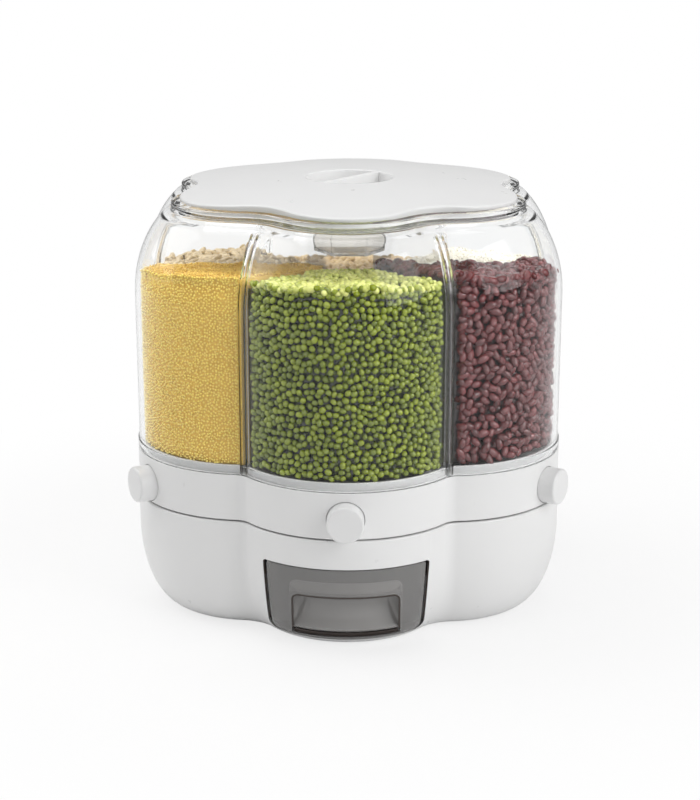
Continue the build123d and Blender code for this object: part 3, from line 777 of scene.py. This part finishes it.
def turned_out(turn, depth, across, up):
    """A point of the object, from its depth out along a direction and its place across that."""
    return (depth * cos(turn) - across * sin(turn), depth * sin(turn) + across * cos(turn), up)


def out_along(turn):
    """The place for a prism that runs out from the axis in a direction."""
    return lambda x, y, depth: turned_out(turn, depth, x, y)


def cusp_turn(number):
    """The direction of the hollow that follows a lobe."""
    return radians(-60 + 60 * number)


notch = front_outline(3.7, 3.7, 112.0, 119.0)
cut_away(floor_lip, [prism(notch, 120.0, 150.0, out_along(cusp_turn(number))) for number in range(6)])
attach(floor_lip, "rotor")


# Button ring
# A white lobed band that turns with the barrel. It has a softened edge at the seam and a bored
# hole for each button.

ring_inset, ring_wall = 0.35, 3.0
ring_bottom, ring_top = 81.0, 112.4
ring_section = [
    (ring_inset, ring_bottom, 1.1), (ring_inset, ring_top, 0.5),
    (ring_inset + ring_wall, ring_top), (ring_inset + ring_wall, ring_bottom, 0.4),
]
button_band = lobed_wall("button_band", rounded(ring_section), white_plastic)
button_height = 94.3
hole_radius = 12.7
hole = []
for step in range(72):
    angle = 2 * pi * step / 72
    hole.append((hole_radius * cos(angle), button_height + hole_radius * sin(angle)))
cut_away(button_band, [prism(hole, 120.0, front_end, out_along(lobe_turn(number))) for number in range(6)])
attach(button_band, "rotor")
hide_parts("button_ring")


# Push buttons and their springs
# Six hollow caps, each with a rounded rim and two lugs that stop it behind the band. A steel coil
# spring behind each cap pushes it back out.

button_face, button_back = 167.15, 138.0
cap_radius, cap_bore, cap_wall = 12.25, 10.45, 1.8
button_plastic = moulded("button_white", (0.84, 0.84, 0.84), (0.80, 0.80, 0.80), 0.34, 0.08)
cap_section = rounded(
    [
        (0.0, button_face - cap_wall), (cap_bore, button_face - cap_wall, 0.6), (cap_bore, button_back),
        (cap_radius, button_back, 0.4), (cap_radius, button_face, 1.4), (0.0, button_face),
    ],
    6,
)
coil_tree, wires = new_tree(
    "coil_spring",
    [("Turns", "Float"), ("Radius", "Float"), ("Length", "Float"), ("Wire", "Float"),
     ("Finish", "Material")],
)
coil = add_node(
    coil_tree, "GeometryNodeCurveSpiral",
    {"Resolution": 28, "Rotations": wires["Turns"], "Start Radius": wires["Radius"],
     "End Radius": wires["Radius"], "Height": wires["Length"]},
)
rod = add_node(
    coil_tree, "GeometryNodeCurvePrimitiveCircle", {"Resolution": 8, "Radius": wires["Wire"]}
)
tube = add_node(
    coil_tree, "GeometryNodeCurveToMesh", {"Curve": coil, "Profile Curve": rod, "Fill Caps": True}
)
smooth = add_node(coil_tree, "GeometryNodeSetShadeSmooth", {"Geometry": tube})
end_tree(coil_tree, smooth, wires["Finish"])

# sizes of the lugs and the coil, in metres
lug_size, lug_reach, lug_across = (0.002, 0.0035, 0.008, 1), 0.1495, 0.0128
coil_sizes = {"Turns": 8.0, "Radius": 0.0063, "Length": 0.0429, "Wire": 0.0007, "Finish": steel}
coil_start = 0.1217

for number in range(6):
    body = f"button_{number + 1}"
    turn = lobe_turn(number)
    out_of_axis = Matrix.Rotation(turn, 4, "Z") @ Matrix.Translation((0, 0, button_height / 1000))
    along = out_of_axis @ Matrix.Rotation(pi / 2, 4, "Y")
    cap = turned(cap_section, 64)
    cap.transform(along)
    for side in (-1, 1):
        lug = bmesh.ops.create_cube(cap, size=1.0)["verts"]
        move = Matrix.Translation((lug_reach, side * lug_across, 0))
        bmesh.ops.transform(cap, matrix=out_of_axis @ move @ Matrix.Diagonal(lug_size), verts=lug)
    mesh = bpy.data.meshes.new(f"button_cap_{number + 1}")
    cap.to_mesh(mesh)
    cap.free()
    mesh.shade_smooth()
    mesh.set_sharp_from_angle(angle=crease)
    button = evenly_shaded(new_piece(f"button_cap_{number + 1}", mesh, button_plastic))
    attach(button, body)
    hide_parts(body)

    spring = grown(f"return_spring_{number + 1}", coil_tree, coil_sizes)
    spring.data.transform(along @ Matrix.Translation((0, 0, coil_start)))
    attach(spring, body)
    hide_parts(f"spring_{number + 1}")
    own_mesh(spring)


# Barrel
# The clear storage barrel, moulded in one piece of SAN: a foot flange that sits on the band, straight
# lobed walls, a curved shoulder, and a thick mouth rim for the lid.

barrel_wall = 3.0
wall_inset, wall_inner = 1.2, 4.2
wall_top = 220.4
shoulder_width, shoulder_height, shoulder_rise = 53.0, 68.4, 55.6
shoulder_x = reach - wall_inset - shoulder_width
shoulder_angle = asin(shoulder_rise / shoulder_height)
rim_outer, rim_inner, rim_bottom, rim_top = 27.0, 37.0, 276.0, 282.0
clear_plastic = clear_shell("clear_wall", (0.975, 0.98, 0.982), 0.015, 0.03, bend=1.27)


def shoulder_point(angle, wall):
    """A point of the shoulder, as inset and height, moved in by a wall's thickness."""
    nx, ny = cos(angle) / shoulder_width, sin(angle) / shoulder_height
    size = hypot(nx, ny)
    x = shoulder_x + shoulder_width * cos(angle) - wall * nx / size
    return (reach - x, wall_top + shoulder_height * sin(angle) - wall * ny / size)


barrel_section = [
    (wall_inner, ring_top), (ring_inset, ring_top, 0.4), (ring_inset, 118.9, 0.7), (wall_inset, 118.9)
]
barrel_section += [shoulder_point(shoulder_angle * step / 18, 0) for step in range(19)]
barrel_section += [
    (rim_outer, rim_bottom, 0.6), (rim_outer, rim_top, 1.2), (rim_inner, rim_top, 0.6),
    (rim_inner, rim_bottom + 1.5, 0.5),
]
barrel_section += [shoulder_point(shoulder_angle * step / 14, barrel_wall) for step in range(13, -1, -1)]
barrel_shell = lobed_wall("barrel_shell", rounded(barrel_section), clear_plastic)

# a pair of ribs inside each hollow, that the edge of a divider slides down between
rib_line = [(wall_inner, 112.6)]
rib_line += [shoulder_point(shoulder_angle * step / 14, barrel_wall) for step in range(13)]
rib_corners = [(-0.9, 1.55), (3.2, 1.75), (3.2, 2.95), (-0.9, 3.15)]
cusp_reach = cusp_centre - cusp_radius
corners, faces = [], []
for number in range(6):
    for side in (-1, 1):
        start = len(corners)
        for inset, up in rib_line:
            for sunk, across in rib_corners:
                depth = cusp_reach - inset - sunk
                corners.append(turned_out(cusp_turn(number), depth, side * across, up))
        for row in range(len(rib_line) - 1):
            faces += band(start + 4 * row, start + 4 * row + 4, 4)
        faces += [(start + 3, start + 2, start + 1, start), tuple(len(corners) - 4 + k for k in range(4))]
rib_mesh = mesh_from("divider_ribs", corners, faces)
face_outwards(rib_mesh)
cut_away(barrel_shell, [new_piece("divider_ribs", rib_mesh, clear_plastic)], "UNION")
evenly_shaded(barrel_shell)
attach(barrel_shell, "rotor")
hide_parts("barrel")


# Dividers and column
# A clear hexagonal column with six walls that part the barrel into compartments.

def clear_sheet(name, colour, haze, roughness):
    """Thin flat clear plastic: it lets light straight through, and shines at a glancing angle."""
    finish, tree = new_finish(name)
    smudge = speckle(tree, 60.0, 4.0)
    glance = add_node(tree, "ShaderNodeLayerWeight", {"Blend": 0.3}, "Facing")
    sockets = {
        "Base Color": (*colour, 1),
        "Roughness": roughness + smudge * 0.05,
        "Alpha": haze + smudge * 0.015 + glance**3 * 0.22,
        "Normal": bumped(tree, 0.05, 0.0003, speckle(tree, 45.0, 2.0)),
    }
    return end_finish(finish, sockets)


divider_plastic = clear_sheet("clear_divider", (0.95, 0.96, 0.965), 0.02, 0.06)
dress(divider_plastic, "divider_core")


# Grain
# A different dry grain fills each compartment: loose seeds lie against the clear wall and over the top of
# the heap, and a heap behind them closes the gaps. The heap and the deeper seeds are coloured darker, as
# painted shade in the gaps, and the seeds that face up carry a painted top tone. It turns with the barrel.

def srgb(red, green, blue):
    """A colour as it is seen, from 0 to 255, as the linear one that a material takes."""
    return tuple(
        v / 255 / 12.92 if v / 255 <= 0.04045 else ((v / 255 + 0.055) / 1.055) ** 2.4
        for v in (red, green, blue)
    )


bin_centre = 92.0
bin_bottom = 118.2
column_half = 27.5
wall_steps, side_steps, column_steps = 81, 24, 8
edge_bottom, edge_pitch, edge_rows = 112, 5.5, 27


def bin_edge(height, gap, corner_side, side):
    """The compartment's plan at a height, in the front lobe's frame: depth and across.

    The gap is kept from the wall. The sides are kept from the middle of the dividers, at the wall and at
    the column.
    """
    inset = wall_inner + gap
    if height > wall_top:
        sunk = (height - wall_top) / (shoulder_height - barrel_wall)
        inset += (shoulder_width - barrel_wall) * (1 - sqrt(max(0.05, 1 - sunk**2)))
    widest = half_step - asin(corner_side / lobed_reach(-pi / 2 + half_step, inset))
    line = []
    for step in range(wall_steps):
        off = widest * (2 * step / (wall_steps - 1) - 1)
        far = lobed_reach(-pi / 2 + off, inset)
        line.append((far * cos(off), far * sin(off)))
    depth = column_half + gap
    width = depth * tan(half_step) - side / cos(half_step)
    first, last = line[0], line[-1]
    for step in range(1, side_steps + 1):
        share = step / side_steps
        line.append((last[0] + (depth - last[0]) * share, last[1] + (width - last[1]) * share))
    for step in range(1, column_steps + 1):
        line.append((depth, width * (1 - 2 * step / column_steps)))
    for step in range(side_steps - 1, 0, -1):
        share = step / side_steps
        line.append((first[0] + (depth - first[0]) * share, first[1] + (-width - first[1]) * share))
    return line


def heap_mesh(name, number, level, lean, bump, gap, corner_side, side, drop, bottom, whole):
    """The grain's outside: the whole closed heap, or only its wall and top, where seeds show."""
    turn = lobe_turn(number)
    bump_place = Vector((number * 7.3, 0, 0))
    edges = []
    for row in range(edge_rows):
        edges.append(bin_edge(edge_bottom + edge_pitch * row, gap, corner_side, side))

    def top(depth, across):
        forward = -turned_out(turn, depth, across, 0)[1]
        bumps = noise.noise(Vector((depth / 22, across / 22, 0)) + bump_place) * bump
        return level + lean * forward + bumps - drop

    rim = bin_edge(level, gap, corner_side, side)
    count = len(rim)
    rows, rings = 26, 16
    points, faces = [], []
    for row in range(rows + 1):
        for step in range(count):
            high = top(*rim[step])
            up = bottom + (high - bottom) * row / rows
            nearest = min(edge_rows - 1, max(0, round((up - edge_bottom) / edge_pitch)))
            depth, across = rim[step] if row == rows else edges[nearest][step]
            points.append((depth, across, up))
    shown = [step for step in range(count) if whole or step < wall_steps + 5 or step > count - 6]
    for row in range(rows):
        faces += band(row * count, (row + 1) * count, count, shown)
    start = rows * count
    for ring in range(1, rings):
        share = 1 - ring / rings
        for depth, across in rim:
            x = bin_centre + (depth - bin_centre) * share
            y = across * share
            points.append((x, y, top(x, y)))
        faces += band(start + (ring - 1) * count, start + ring * count, count)
    points.append((bin_centre, 0, top(bin_centre, 0)))
    here = start + (rings - 1) * count
    faces += [(here + step, here + (step + 1) % count, len(points) - 1) for step in range(count)]
    if whole:
        faces.append(tuple(range(count - 1, -1, -1)))
    mesh = mesh_from(name, [turned_out(turn, *point) for point in points], faces)
    mesh.shade_smooth()
    return mesh


def seed_mesh(length, width, thick, bend, sides, rings):
    """One seed: a plump oval, bent for a kidney shape, with its flat side down."""
    points = [(-length / 2, 0, 0)]
    for ring in range(1, rings + 1):
        turn = pi * ring / (rings + 1)
        x, fat = -cos(turn) / 2 * length, sin(turn) ** 0.85
        for side in range(sides):
            angle = 2 * pi * side / sides
            y = cos(angle) * fat * width / 2 - bend * (1 - 4 * (x / length) ** 2)
            points.append((x, y, sin(angle) * fat * thick / 2))
    points.append((length / 2, 0, 0))
    faces = [(0, 1 + (k + 1) % sides, 1 + k) for k in range(sides)]
    for ring in range(rings - 1):
        faces += band(1 + ring * sides, 1 + (ring + 1) * sides, sides)
    last = 1 + (rings - 1) * sides
    faces += [(last + k, last + (k + 1) % sides, len(points) - 1) for k in range(sides)]
    mesh = mesh_from("seed", points, faces)
    mesh.shade_smooth()
    return mesh


pile_tree, wires = new_tree(
    "seeds_on_a_heap",
    [("Heap", "Object"), ("Seed", "Object"), ("Thickness", "Float"), ("Spacing", "Float"),
     ("Tilt", "Float"), ("Lift", "Float"), ("Number", "Int"), ("Finish", "Material")],
)
seed_shape = add_node(pile_tree, "GeometryNodeObjectInfo", {"Object": wires["Seed"]}, "Geometry")
heap_shape = add_node(pile_tree, "GeometryNodeObjectInfo", {"Object": wires["Heap"]}, "Geometry")


def random_between(low, high, seed):
    """A random number for each point of the heap."""
    return add_node(
        pile_tree, "FunctionNodeRandomValue", {2: low, 3: high, "Seed": seed}, 1, data_type="FLOAT"
    )


join = pile_tree.nodes.new("GeometryNodeJoinGeometry")
pile_tree.links.new(heap_shape.socket, join.inputs[0])
for layer in range(2):
    # the second layer lies deeper and a little sparser, and closes the gaps of the first; its darker tone
    # is painted shade in those gaps
    scatter = pile_tree.nodes.new("GeometryNodeDistributePointsOnFaces")
    scatter.distribute_method = "POISSON"
    spacing = wires["Spacing"] * (1.0, 1.1)[layer]
    pile_tree.links.new(wires["Geometry"].socket, scatter.inputs["Mesh"])
    pile_tree.links.new(spacing.socket, scatter.inputs["Distance Min"])
    scatter.inputs["Density Max"].default_value = 1.2e6
    pile_tree.links.new((wires["Number"] + 11 * layer).socket, scatter.inputs["Seed"])
    sink = wires["Thickness"] * random_between((-0.95, -1.7)[layer], (-0.52, -1.3)[layer], 60 + layer)
    outputs = [scatter.outputs[label] for label in ("Points", "Normal", "Rotation")]
    spots, facing, turned_to = (Wire(pile_tree, output) for output in outputs)
    deep = add_node(pile_tree, "ShaderNodeVectorMath", {0: facing, "Scale": sink}, operation="SCALE")
    placed = add_node(pile_tree, "GeometryNodeSetPosition", {"Geometry": spots, "Offset": deep})
    lean = wires["Tilt"]
    angles = []
    for axis in range(3):
        low, high = (-1 * lean, lean) if axis < 2 else (0.0, 2 * pi)
        angles.append(random_between(low, high, wires["Number"] + (20 + axis + 5 * layer)))
    euler = add_node(pile_tree, "ShaderNodeCombineXYZ", {0: angles[0], 1: angles[1], 2: angles[2]})
    spin = add_node(pile_tree, "FunctionNodeEulerToRotation", {0: euler})
    tipped = add_node(
        pile_tree, "FunctionNodeRotateRotation", {0: turned_to, 1: spin}, rotation_space="LOCAL"
    )
    size = random_between(0.86, 1.08, 3 + layer)
    seeds = add_node(
        pile_tree, "GeometryNodeInstanceOnPoints",
        {"Points": placed, "Instance": seed_shape, "Rotation": tipped, "Scale": size},
    )
    tone = random_between((0.34, 0.02)[layer], (0.72, 0.26)[layer], 40 + layer)
    # painted light: seeds that face up get a lighter tone, as if lit from above; a negative top tone paints
    # shade on them instead
    upward = add_node(pile_tree, "ShaderNodeSeparateXYZ", {0: facing}, 2)
    tone = tone + upward.over(0.0) * wires["Lift"]
    toned = add_node(
        pile_tree, "GeometryNodeStoreNamedAttribute",
        {"Geometry": seeds, "Name": "shade", "Value": tone}, data_type="FLOAT", domain="INSTANCE",
    )
    pile_tree.links.new(toned.socket, join.inputs[0])
end_tree(pile_tree, Wire(pile_tree, join.outputs[0]), wires["Finish"])


def grain_finish(name, tones, roughness, patch):
    """Dry seeds: each has a tone of its own, with painted light and shade added, faint patches, a dull
    sheen and a wrinkled skin. The heap, which has no tone, takes the first and darkest colour: painted
    shade of the gaps.
    """
    finish, tree = new_finish(name)
    tone = add_node(tree, "ShaderNodeAttribute", out="Fac", attribute_name="shade")
    patches = speckle(tree, 520.0, 3.0)
    stops = [(0.0, srgb(*tones[0]))]
    stops += [(0.2 + 0.8 * k / (len(tones) - 2), srgb(*colour)) for k, colour in enumerate(tones[1:])]
    base = add_node(tree, "ShaderNodeValToRGB", {0: tone + (patches - 0.5) * patch}, stops=stops)
    sockets = {
        "Base Color": base,
        "Roughness": roughness + patches * 0.1,
        "IOR": 1.65,
        "Normal": bumped(tree, 0.25, 0.0003, speckle(tree, 1500.0, 2.0)),
    }
    return end_finish(finish, sockets)


# a row: name, the seed's length, width, thickness, bend, sides and rings, spacing, the heap's level,
# lean and bump, tilt, painted top tone (painted light on seeds that face up; painted shade where it is
# negative), tones from the painted shade of the gaps up, roughness, strength of patches
grains = [
    ("green_beans", (5.1, 4.3, 4.1, 0.0, 8, 3), 3.75, (232.0, 0.095, 3.0), 0.9, 0.48,
     [(28, 36, 0), (74, 87, 0), (104, 118, 2), (134, 147, 18), (216, 219, 128)], 0.16, 0.25),
    ("red_beans", (9.0, 5.8, 5.4, 0.6, 8, 5), 5.2, (234.5, 0.1, 6.0), 0.75, 0.12,
     [(24, 5, 5), (66, 21, 22), (86, 33, 34), (108, 49, 50), (142, 78, 78)], 0.12, 0.25),
    ("white_rice", (6.4, 2.6, 2.1, 0.0, 6, 3), 2.95, (223.5, 0.03, 2.0), 0.3, 0.0,
     [(226, 214, 184), (250, 244, 226), (252, 247, 232), (253, 249, 238), (255, 252, 244)], 0.42, 0.15),
    ("soy_beans", (7.4, 6.4, 6.0, 0.0, 8, 4), 5.5, (214.0, 0.03, 2.5), 0.6, 0.0,
     [(92, 66, 34), (176, 144, 92), (208, 178, 124), (220, 192, 142), (232, 208, 164)], 0.32, 0.3),
    ("white_beans", (9.6, 5.8, 4.6, 0.4, 8, 5), 5.5, (225.0, 0.04, 2.0), 0.6, 0.0,
     [(84, 62, 34), (166, 140, 98), (200, 178, 136), (214, 194, 156), (232, 216, 184)], 0.34, 0.3),
    ("millet", (1.9, 1.8, 1.7, 0.0, 4, 1), 1.62, (231.5, 0.115, 2.0), 0.6, -0.6,
     [(222, 182, 76), (255, 231, 116), (255, 235, 128), (250, 223, 126), (253, 230, 146)], 0.44, 0.2),
]
for number, (name, seed, spacing, surface, tilt, painted_top_tone, tones, gloss, patch) in enumerate(grains):
    length, thick = seed[0], seed[2]
    behind = thick * 1.3
    heap_skin = heap_mesh("heap", number, *surface, 0.4 + behind, 1.8, 1.8, behind, bin_bottom, True)
    heap = new_piece("heap", heap_skin)
    one = new_piece("seed", seed_mesh(*seed))
    corner_side, side = 3.4 + 0.4 * length, 1.3 + 0.4 * length
    lowest = bin_bottom + 0.45 * thick
    skin = heap_mesh("skin", number, *surface, 0.4, corner_side, side, 0.0, lowest, False)
    values = {
        "Heap": heap, "Seed": one, "Thickness": thick / 1000, "Spacing": spacing / 1000, "Tilt": tilt,
        "Lift": painted_top_tone, "Number": number + 1, "Finish": grain_finish(name, tones, gloss, patch),
    }
    pile = grown(f"grain_{name}", pile_tree, values, skin)
    discard(heap, one)
    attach(pile, "rotor")


# Lid and drying box
# A white crowned cover with a round grip let in and a slanting bar across it. A pale box for a drying
# bag hangs under the grip, inside the column.

lid_inset, lid_wall = 33.0, 2.5
lid_top = 291.6
crown_rise = 7.1
crown_radius = ((reach - lid_inset) ** 2 + crown_rise**2) / (2 * crown_rise)
rim_clearance = 0.15
lid_under, grip_floor, grip_radius = 280.6, 282.6, 30.0


def on_crown(drop):
    """The height of the cover's crown less a drop, as a function of the distance from the axis."""
    return lambda far: lid_top - drop - crown_radius + sqrt(crown_radius**2 - far**2)


def across_crown(share):
    """A ring part of the way in from the cover's edge to its grip."""
    return lambda turn: lobed_reach(turn, lid_inset + 1.5) * (1 - share) + 31.6 * share


seat = rim_top + rim_clearance
lid_rings = [
    (0.0, lid_under), (31.2, lid_under), (32.0, lid_under + 0.8), (32.0, on_crown(lid_wall)),
]
lid_edge = [
    (8, on_crown(lid_wall)), (8, seat), (0.2, seat), (0, seat + 0.2), (0, on_crown(1.4)),
    (0.12, on_crown(0.82)), (0.45, on_crown(0.36)), (0.9, on_crown(0.1)),
]
lid_rings += [(lobed_ring(lid_inset + inset), height) for inset, height in lid_edge]
lid_rings += [(across_crown(share / 12), on_crown(0.0)) for share in range(13)]
lid_rings += [
    (30.9, on_crown(0.05)), (30.35, on_crown(0.25)), (30.08, on_crown(0.6)),
    (grip_radius, on_crown(1.1)), (grip_radius, 284.6), (29.6, 283.5), (28.6, 282.8),
    (27.2, grip_floor), (0.0, grip_floor),
]
lid_cover = ring_loft("lid_cover", lid_rings, white_plastic, count=384)
bar_section = front_outline(2.0, 2.0, 282.3, 291.0, 0, 0.9, 5)
bar_half, bar_turn = 30.4, radians(52)
bar = prism(bar_section, -bar_half, bar_half, out_along(bar_turn), "lid_bar", white_plastic)
bar.data.shade_smooth()
bar.data.set_sharp_from_angle(angle=radians(30))
for piece in (lid_cover, bar):
    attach(piece, "lid")
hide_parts("lid_plate")

soft_seal = moulded("seal_rubber", (0.8, 0.8, 0.79), (0.75, 0.75, 0.74), 0.6, 0.2)
dress(soft_seal, "lid_gasket")


def frosted(name, colour, roughness):
    """Thin frosted plastic: what lies behind it shows through, softened."""
    finish, tree = new_finish(name)
    cloud = speckle(tree, 60.0, 4.0)
    sockets = {
        "Base Color": blend_colour(tree, cloud, colour, tuple(0.93 * c for c in colour)),
        "Roughness": roughness + cloud * 0.1,
        "Transmission Weight": 0.93,
        "IOR": 1.12,
        "Normal": bumped(tree, 0.2, 0.0003, speckle(tree, 1200.0, 2.0)),
    }
    return end_finish(finish, sockets)


frosted_plastic = frosted("frosted_clear", (0.97, 0.955, 0.925), 0.12)
dress(frosted_plastic, "desiccant_box", "desiccant_cover")
